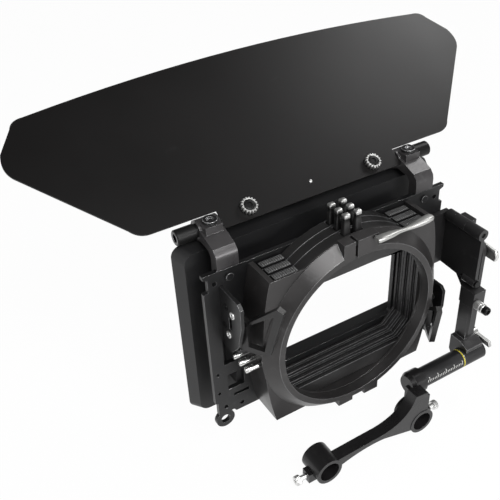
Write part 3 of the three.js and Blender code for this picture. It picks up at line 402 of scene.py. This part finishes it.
def edged(node, film, edge, width=0.4, segments=2, keep=28.0):
    """A CAD node with its edges broken: the node's own triangles merged into faces, then a live
    bevel on every edge sharper than `keep` degrees, whose strip takes the edge finish: wear, and a
    painted highlight in its lighter tone."""
    source = frame["nodes"][node].data
    solid = bmesh.new()
    solid.from_mesh(source)
    bmesh.ops.remove_doubles(solid, verts=solid.verts, dist=2e-6)
    bmesh.ops.dissolve_limit(
        solid, angle_limit=math.radians(0.8), verts=solid.verts, edges=solid.edges
    )
    for face in solid.faces:
        face.material_index = 0
        face.smooth = True
    points = np.array([v.co for v in solid.verts])
    mesh = bpy.data.meshes.new(node + "_edged")
    mesh.from_pydata(
        points.tolist(), [], [[v.index for v in face.verts] for face in solid.faces]
    )
    solid.free()
    piece = finished(node + "_edged", mesh, [film, edge], node_body[node], 40.0)
    bevel = piece.modifiers.new("broken_edges", "BEVEL")
    bevel.width = width * MM
    bevel.segments = segments
    bevel.limit_method = "ANGLE"
    bevel.angle_limit = math.radians(keep)
    bevel.material = 1
    bevel.use_clamp_overlap = True
    bevel.miter_outer = "MITER_ARC"
    bevel.face_strength_mode = "FSTR_AFFECTED"
    even = piece.modifiers.new("even_light", "WEIGHTED_NORMAL")
    even.keep_sharp = False
    even.use_face_influence = True
    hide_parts(node)
    return piece


def stands_for(piece, *nodes):
    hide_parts(*nodes)
    return piece


# ---------------------------------------------------------------- metal parts with broken edges
edged("rod_bridge", BRIDGE_FILM, EDGE_SOFT, 1.0, 3)
edged("cross_tube", TUBE_FILM, EDGE_DARK, 0.4)
edged("scale_ring", YELLOW_LINE, YELLOW_LINE, 0.08, 1)
edged("column_foot", COLUMN_FILM, EDGE_DARK, 0.8, 3)
edged("height_slide", COLUMN_FILM, EDGE_GREY, 0.5, 3)
edged("hinge_leaf", COLUMN_FILM, EDGE_DARK, 0.5, 3)
edged("hinge_pin", BLACK_CAP, BLACK_CAP, 0.3)
edged("swing_lock_pin", BLACK_CAP, BLACK_CAP, 0.3)
edged("rear_collar", STAGE_FILM, EDGE_DARK, 0.6, 3)
edged("filter_stage", STAGE_FILM, EDGE_DARK, 0.5, 3)
edged("mount_plate", BLACK_FILM, EDGE_GREY, 0.6)
edged("sunshade", HOOD_SKIN, HOOD_EDGE_HIGHLIGHT, 0.8, 3, 18.0)
edged("collar_screw", SATIN_STEEL, SATIN_STEEL, 0.3)
for number in (1, 2, 3):
    edged(f"filter_tray_{number}", TRAY_FILM, EDGE_TRAY, 0.5, 2)
for side in ("left", "right"):
    edged(f"flag_bracket_{side}", GREY_FILM, EDGE_DARK, 0.7, 3)
    edged(f"bracket_cap_{side}", BLACK_FILM, EDGE_GREY, 0.3)
    edged(f"bracket_screw_{side}", BLACK_FILM, EDGE_DARK, 0.3)
    edged(f"side_plate_{side}", BLACK_FILM, EDGE_DARK, 0.4)
    edged(f"side_loop_{side}", TRAY_FILM, EDGE_DARK, 1.5, 4)
    edged(f"loop_pin_{side}", STEEL_Z, STEEL_Z, 0.2)
edged("flag_bar", BLACK_FILM, EDGE_DARK, 0.5)
edged("top_flag", FLAG_SKIN, FLAG_EDGE_HIGHLIGHT, 0.25)
edged("swing_lever_hub", BLACK_CAP, BLACK_CAP, 0.8, 3)
edged("swing_lever", LEVER_STEEL, PALE_STEEL, 1.6, 5)
edged("foot_lever", SATIN_STEEL, PALE_STEEL, 0.8, 3)


# ---------------------------------------------------------------- knurled and turned pieces
def lowest(node): return np.array(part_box(node)[0])
def highest(node): return np.array(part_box(node)[1])
def middle(node): return (lowest(node) + highest(node)) / 2


def thumbscrew(side, sign):
    """A scalloped steel thumbscrew, dished round a black socket: a black disc nearly filling the
    knob's recess, painted shade for the dark socket.
    """
    node = f"flag_thumbscrew_{side}"
    seat = FLAG_AXIS + [sign * THUMBSCREW_X, 0, 0] + 1.0 * MM * FLAG_UP
    base = 7.4 * MM
    profile = np.array([
        (0, -0.4), (6.6, 0.0), (7.3, 0.5), (7.5, 0.9), (7.5, 3.5), (7.2, 4.1), (6.7, 4.5),
        (5.3, 4.5), (4.9, 4.2), (4.7, 3.2), (0, 3.2),
    ]) * MM
    profile[:, 1] += base
    toothed = [0, 0.8, 1, 1, 1, 1, 0.9, 0, 0, 0, 0]
    mesh = turned(node + "_knurled", profile, seat, FLAG_NORMAL, 224, 16, 1.5 * MM, toothed)
    stands_for(finished(node + "_knurled", mesh, [SCREW_STEEL], f"thumbscrew_{side}"), node)
    shank = np.array([(0, 5.8), (2.0, 5.8), (2.0, 7.2), (0, 7.2)]) * MM
    mesh = turned(node + "_shank", shank, seat, FLAG_NORMAL, 32)
    finished(node + "_shank", mesh, [STEEL_Z], f"thumbscrew_{side}")
    # The socket: a black disc with a small hollow, nearly filling the knob's recess, painted shade
    # for the dark socket.
    socket = np.array([
        (0, 3.3), (4.5, 3.3), (4.5, 4.2), (4.1, 4.4), (2.3, 4.4), (1.9, 3.6), (0, 3.6),
    ]) * MM
    socket[:, 1] += base
    mesh = turned(node + "_socket", socket, seat, FLAG_NORMAL, 48)
    finished(node + "_socket", mesh, [BLACK_CAP], f"thumbscrew_{side}")


thumbscrew("left", -1)
thumbscrew("right", 1)


def bar_end(side, sign):
    """A plain black sleeve on the flag bar's end, open through its middle."""
    profile = np.array([
        (3.4, 0), (6.0, 0), (6.5, 0.5), (6.5, 16.4), (5.9, 17.0), (4.2, 17.0), (3.4, 16.4),
        (3.4, 0),
    ]) * MM
    start = FLAG_AXIS + [sign * BAR_END_X, 0, 0]
    mesh = turned(f"bar_end_{side}", profile, start, (sign, 0, 0), 56)
    finished(f"bar_end_{side}", mesh, [BLACK_CAP], "flag")


bar_end("left", -1)
bar_end("right", 1)


def plate_hole(side, number, y, z):
    """A black, shallow dished ring round a hole of a side plate, lapping over the hole's rim:
    painted shade for the dark countersunk hole.
    """
    sign = -1 if side == "left" else 1
    hole, bore, lip = PLATE_HOLE_R, 0.45 * PLATE_HOLE_R, PLATE_HOLE_R + 0.5 * MM
    profile = np.array([
        (bore, 0), (hole, 0), (lip, 0.12 * MM), (lip, 0.3 * MM), (bore, 0.3 * MM), (bore, 0),
    ])
    name = f"plate_hole_{side}_{number}"
    mesh = turned(name, profile, (sign * SIDE_PLATE_X, y, z), (sign, 0, 0), 40)
    finished(name, mesh, [BLACK_CAP], "box")


for side, drop in (("left", 0.0), ("right", RIGHT_DROP)):
    plate_hole(side, 1, 0.066, AXIS_Z + 0.049 - drop)
    plate_hole(side, 2, 0.070, AXIS_Z + 0.028 - drop)


def pinch_screw(side, sign):
    """A rod clamp's pinch screw: a plain shank and a small head with a knurled rim and a round
    hollow in its end.
    """
    node = f"rod_screw_{side}"
    low, high = lowest(node), highest(node)
    y, z = middle(node)[1:]
    inner, outer = (low[0], high[0]) if sign > 0 else (high[0], low[0])
    length = abs(outer - inner)
    profile = np.array([
        (0, 0), (2.1, 0), (2.5, 0.4), (2.5, length / MM - 5.0), (4.0, length / MM - 5.0),
        (4.5, length / MM - 4.5), (4.5, length / MM - 0.7), (3.9, length / MM), (1.6, length / MM),
        (1.4, length / MM - 1.2), (0, length / MM - 1.2),
    ]) * MM
    toothed = [0, 0, 0, 0, 0.6, 1, 1, 0.4, 0, 0, 0]
    start, outwards = (inner, y, z), (sign, 0, 0)
    mesh = turned(node + "_turned", profile, start, outwards, 120, 24, 0.35 * MM, toothed)
    stands_for(finished(node + "_turned", mesh, [PALE_STEEL], f"rod_screw_{side}"), node)


pinch_screw("left", -1)
pinch_screw("right", 1)


def height_knob():
    """The height lock's knob: a ribbed steel barrel and a black end with a hollow."""
    low, high = lowest("height_knob"), highest("height_knob")
    x, z = middle("height_knob")[0], middle("height_knob")[2]
    span = (high[1] - low[1]) / MM
    profile = np.array([
        (0, 0), (3.9, 0), (4.5, 0.6), (4.5, span - 3.4), (4.1, span - 3.0), (4.1, span - 2.4),
        (4.5, span - 2.0), (4.5, span - 0.5), (4.0, span), (0, span),
    ]) * MM
    toothed = [0, 0.4, 1, 1, 0, 0, 0, 0, 0, 0]
    start, rearwards = (x, high[1], z), (0, -1, 0)
    mesh = turned("height_knob_ribbed", profile, start, rearwards, 120, 20, 0.4 * MM, toothed)
    stands_for(finished("height_knob_ribbed", mesh, [PALE_STEEL], "height_knob"), "height_knob")
    near = highest("height_knob_cap")[1]
    depth = (near - lowest("height_knob_cap")[1]) / MM
    profile = np.array([
        (0, 0), (3.4, 0), (4.0, 0.5), (4.0, depth - 0.9), (3.3, depth), (2.3, depth),
        (2.0, depth - 1.6), (0, depth - 1.6),
    ]) * MM
    mesh = turned("height_knob_end", profile, (x, near, z), rearwards, 64)
    stands_for(finished("height_knob_end", mesh, [BLACK_CAP], "height_knob"), "height_knob_cap")


height_knob()


def stage_pin(number):
    """A polished lock pin with a rounded nose and one shallow groove."""
    node = f"stage_pin_{number}"
    low, high = lowest(node), highest(node)
    y, z = middle(node)[1:]
    span = (high[0] - low[0]) / MM
    profile = np.array([
        (0, 0), (2.5, 0), (2.5, span - 7.2), (2.2, span - 7.0), (2.2, span - 6.4),
        (2.5, span - 6.2), (2.5, span - 0.9), (2.3, span - 0.4), (1.9, span - 0.1), (0, span),
    ]) * MM
    mesh = turned(node + "_polished", profile, (high[0], y, z), (-1, 0, 0), 48)
    stands_for(finished(node + "_polished", mesh, [STEEL_X], f"stage_pin_{number}"), node)


def side_bush(side, number):
    """A steel bush with a rounded lip round its bore, and a black disc set down the bore: painted
    shade in the hole.
    """
    node = f"side_bush_{side}_{number}"
    low, high = lowest(node), highest(node)
    y, z = middle(node)[1:]
    sign = -1 if side == "left" else 1
    inner = high[0] if sign < 0 else low[0]
    span = (high[0] - low[0]) / MM
    profile = np.array([
        (1.6, 0), (3.2, 0), (3.2, span - 0.2), (3.1, span - 0.05), (2.9, span), (1.9, span),
        (1.75, span - 0.2), (1.6, span - 0.6), (1.6, 0),
    ]) * MM
    mesh = turned(node + "_lipped", profile, (inner, y, z), (sign, 0, 0), 56)
    stands_for(finished(node + "_lipped", mesh, [PALE_STEEL], "box"), node)
    # A black disc set down the bore below the lip: painted shade in the hole.
    plug = np.array([(0, 0.3), (1.5, 0.3), (1.5, span - 0.9), (0, span - 0.9)]) * MM
    mesh = turned(node + "_bore", plug, (inner, y, z), (sign, 0, 0), 32)
    finished(node + "_bore", mesh, [BLACK_CAP], "box")


for number in (1, 2, 3):
    stage_pin(number)
for side in ("left", "right"):
    side_bush(side, 1)
    side_bush(side, 2)


def rivet():
    """The flag's rivet: a low dome, r = R cos(a), h = H sin(a)."""
    bend = np.linspace(0, np.pi / 2, 7)
    seat = FLAG_AXIS + 4.0 * MM * FLAG_UP
    dome = np.stack([1.6 * np.cos(bend), 7.35 + 0.7 * np.sin(bend)], 1)
    profile = np.vstack([[(0, 7.3)], dome]) * MM
    mesh = turned("flag_rivet_domed", profile, seat, FLAG_NORMAL, 32)
    stands_for(finished("flag_rivet_domed", mesh, [SATIN_STEEL], "flag"), "flag_rivet")


rivet()


# ---------------------------------------------------------------- grips, prongs, collar lever
def ribbed_grip(node, number):
    """A tray's grip: z = base + rise*max(0, cos(2 pi x/pitch))^0.5 over its length, flat round the
    edge, closed underneath."""
    low, high = lowest(node), highest(node)
    columns, rows = 133, 13
    x = np.linspace(low[0], high[0], columns)
    y = np.linspace(low[1], high[1], rows)
    gx, gy = np.meshgrid(x, y, indexing="ij")
    pitch = 2.0 * MM
    wave = np.clip(np.cos(2 * np.pi * (gx - x[0]) / pitch), 0, 1) ** 0.5
    inset = np.minimum(gy - low[1], high[1] - gy)
    ends = np.minimum(gx - low[0], high[0] - gx)
    inside = np.clip(inset / (1.0 * MM) - 0.3, 0, 1) * np.clip(ends / (0.8 * MM) - 0.3, 0, 1)
    top = high[2] - 1.1 * MM + 1.1 * MM * wave * inside
    upper = np.stack([gx, gy, top], -1)
    lower = np.stack([gx, gy, np.full_like(gx, low[2])], -1)
    count = columns * rows
    points = np.vstack([upper.reshape(-1, 3), lower.reshape(-1, 3)])
    top_faces = grid_faces(columns, rows)
    under_faces = top_faces[:, ::-1] + count
    rim = np.concatenate([
        np.arange(columns) * rows,
        (columns - 1) * rows + np.arange(1, rows),
        np.arange(columns - 2, -1, -1) * rows + rows - 1,
        np.arange(rows - 2, 0, -1),
    ])
    following = np.roll(rim, -1)
    wall = np.stack([rim, rim + count, following + count, following], 1)
    mesh = bpy.data.meshes.new(node + "_ribbed")
    faces = np.vstack([top_faces, under_faces, wall])
    mesh.from_pydata(points.tolist(), [], faces.tolist())
    ribbed = (inside[:-1, :-1] + inside[1:, 1:]).ravel() > 0.9
    material = np.concatenate([~ribbed, np.ones(len(under_faces) + len(wall), bool)])
    mesh.polygons.foreach_set("material_index", material.astype(np.int32))
    face_out(mesh)
    piece = finished(node + "_ribbed", mesh, [RIB_GREY, BLACK_FILM], f"tray_{number}", 50)
    stands_for(piece, node)


def prong(side, number):
    """A tray latch's prong: a superellipse section |x/a|^5 + |y/b|^5 = 1 carried up z, waisted
    below a bright rounded finger pad."""
    node = f"tray_latch_{side}_{number}"
    low, high = lowest(node), highest(node)
    centre = (low + high) / 2
    half_x, half_y = (high[0] - low[0]) / 2, (high[1] - low[1]) / 2
    tall = (high[2] - low[2]) / MM
    stations = np.array([
        (0, 0.0), (0, 1.0), (tall - 9.0, 1.0), (tall - 8.0, 0.84), (tall - 4.4, 0.80),
        (tall - 3.6, 0.96), (tall - 1.4, 0.96), (tall - 0.6, 0.86), (tall - 0.1, 0.60),
        (tall, 0.0),
    ])
    facets, power = 40, 5
    t = np.linspace(0, 2 * np.pi, facets, endpoint=False)
    cos, sin = np.cos(t), np.sin(t)
    points = np.empty((len(stations), facets, 3))
    share = stations[:, 1, None]
    points[..., 0] = centre[0] + half_x * share * np.sign(cos) * np.abs(cos) ** (2 / power)
    points[..., 1] = centre[1] + half_y * share * np.sign(sin) * np.abs(sin) ** (2 / power)
    points[..., 2] = low[2] + stations[:, 0, None] * MM
    rows = [0, 0, 0, 0, 0, 1, 1, 1, 1]
    mesh = sheet_mesh(node + "_shaped", points, rows)
    body = f"latch_{side}_{number}"
    stands_for(finished(node + "_shaped", mesh, [TRAY_FILM, SATIN_STEEL], body), node)


def collar_lever():
    """The collar's clamp lever: a superellipse bar, thick at the pivot, necked, then a paddle, and
    the round pivot that it turns on."""
    low, high = lowest("collar_lever"), highest("collar_lever")
    x0, length = low[0], high[0] - low[0]
    half_y = 3.7 * MM
    share = np.array([0, 0.0, 0.02, 0.12, 0.26, 0.40, 0.52, 0.64, 0.78, 0.90, 0.97, 1.0, 1.0])
    rise = np.array([2.4, 2.4, 2.4, 2.4, 2.4, 2.0, 1.5, 1.6, 2.2, 2.8, 3.2, 3.4, 3.4]) * MM
    half_z = np.array([0, 1.6, 2.1, 2.1, 1.9, 1.4, 1.3, 1.8, 2.4, 2.5, 2.0, 1.0, 0]) * MM
    wide = np.array([0, 0.8, 1.0, 1.0, 0.9, 0.5, 0.45, 0.66, 0.95, 1.0, 0.95, 0.6, 0])
    base = AXIS_Z + 0.0850
    middle_y = np.full(len(share), low[1] + half_y)
    stations = np.stack([
        x0 + share * length, middle_y, base + rise, half_y * wide, half_z,
    ], 1)
    mesh = rounded_bar("collar_lever_shaped", stations, 48, 3.2)
    stands_for(finished("collar_lever_shaped", mesh, [LEVER_STEEL], "collar_lever"), "collar_lever")
    pivot = np.array([(0, 0), (1.9, 0), (1.9, 3.4), (0, 3.4)]) * MM
    start = (LEVER_PIVOT_X, high[1], AXIS_Z + 0.0872)
    mesh = turned("collar_lever_pivot", pivot, start, (0, -1, 0), 32)
    finished("collar_lever_pivot", mesh, [STEEL_X], "collar_lever")


for number in (1, 2, 3):
    ribbed_grip(f"tray_grip_left_{number}", number)
    ribbed_grip(f"tray_grip_right_{number}", number)
    prong("left", number)
    prong("right", number)
collar_lever()


# ---------------------------------------------------------------- floor, lights and camera
def studio_white(name, lit, share):
    """White to the eye and in reflections, and a plain matt white to the lamps."""
    f = Finish(name)
    direct, mirrored, through = f.rays("Camera", "Glossy", "Transmission")
    seen = direct + mirrored + through
    matt = f.add("ShaderNodeBsdfDiffuse", None, {"Color": (lit, lit, lit, 1)})
    white = f.add("ShaderNodeEmission", None, {"Color": (1, 1, 1, 1), "Strength": 1.0})
    both = f.add("ShaderNodeMixShader", None, {0: (seen > 0.5) * share, 1: matt, 2: white})
    f.node("ShaderNodeOutputMaterial", None, {"Surface": both})
    return f.material


def floor():
    """A wide floor just below the clamps: z = const over a grid."""
    half, gap, lines = 6.0, 0.002, 9
    along = np.linspace(-half, half, lines)
    x, y = np.meshgrid(along, along, indexing="ij")
    points = np.stack([x, y, np.full_like(x, cad_low[2] - gap)], -1)
    mesh = bpy.data.meshes.new("floor")
    mesh.from_pydata(points.reshape(-1, 3).tolist(), [], grid_faces(lines, lines).tolist())
    mesh.materials.append(studio_white("floor_white", 0.8, 0.97))
    placed("floor", mesh)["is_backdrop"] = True


def world(strength):
    """White to the eye and through glass, a dimmer even light to all else."""
    sky = bpy.data.worlds.new("studio")
    bpy.context.scene.world = sky
    f = Finish("studio", sky)
    direct, through = f.rays("Camera", "Transmission")
    even = f.add("ShaderNodeBackground", None, {"Strength": strength})
    white = f.add("ShaderNodeBackground", None, {"Color": (1, 1, 1, 1), "Strength": 1.0})
    seen = f.maths("MAXIMUM", direct, through)
    both = f.add("ShaderNodeMixShader", None, {0: seen, 1: even, 2: white})
    f.node("ShaderNodeOutputWorld", None, {"Surface": both})


def lamp(name, place, aim, size, power):
    data = bpy.data.lights.new(name, "AREA")
    data.shape = "RECTANGLE"
    data.size, data.size_y = size
    data.energy = power
    made = placed(name, data)
    made.location = place
    made.rotation_euler = (Vector(aim) - Vector(place)).to_track_quat("-Z", "Y").to_euler()


floor()
world(0.22)
lamp("overhead", (-0.05, -0.75, 1.10), LAMP_AIM, (0.7, 0.5), 14)
lamp("sheen", (1.05, 0.25, 1.20), (0.15, 0.15, 0.25), (0.5, 0.5), 7)
lamp("camera_left", (-1.1, -0.5, 0.8), LAMP_AIM, (0.5, 0.5), 4)
lamp("rear", (0.35, -1.2, 0.45), LAMP_AIM, (0.4, 0.4), 8)
lamp("left_low", (-1.2, 0.1, 0.25), LAMP_AIM, (0.3, 0.8), 1.2)

camera_data = bpy.data.cameras.new("camera")
camera_data.sensor_width = 36.0
camera_data.lens = 53.53
camera_data.clip_start, camera_data.clip_end = 0.01, 50
camera = placed("camera", camera_data)
right = Vector((0.85612923, -0.51486183, -0.04427232))
down = Vector((-0.33074573, -0.48011205, -0.81246519))
ahead = Vector((0.39705164, 0.71021808, -0.58132631))
turn = Matrix((right, -down, -ahead)).transposed().to_4x4()
camera.matrix_world = Matrix.Translation((-0.30312, -0.32890, 0.53315)) @ turn
bpy.context.scene.camera = camera
bpy.context.scene.view_settings.view_transform = "Standard"
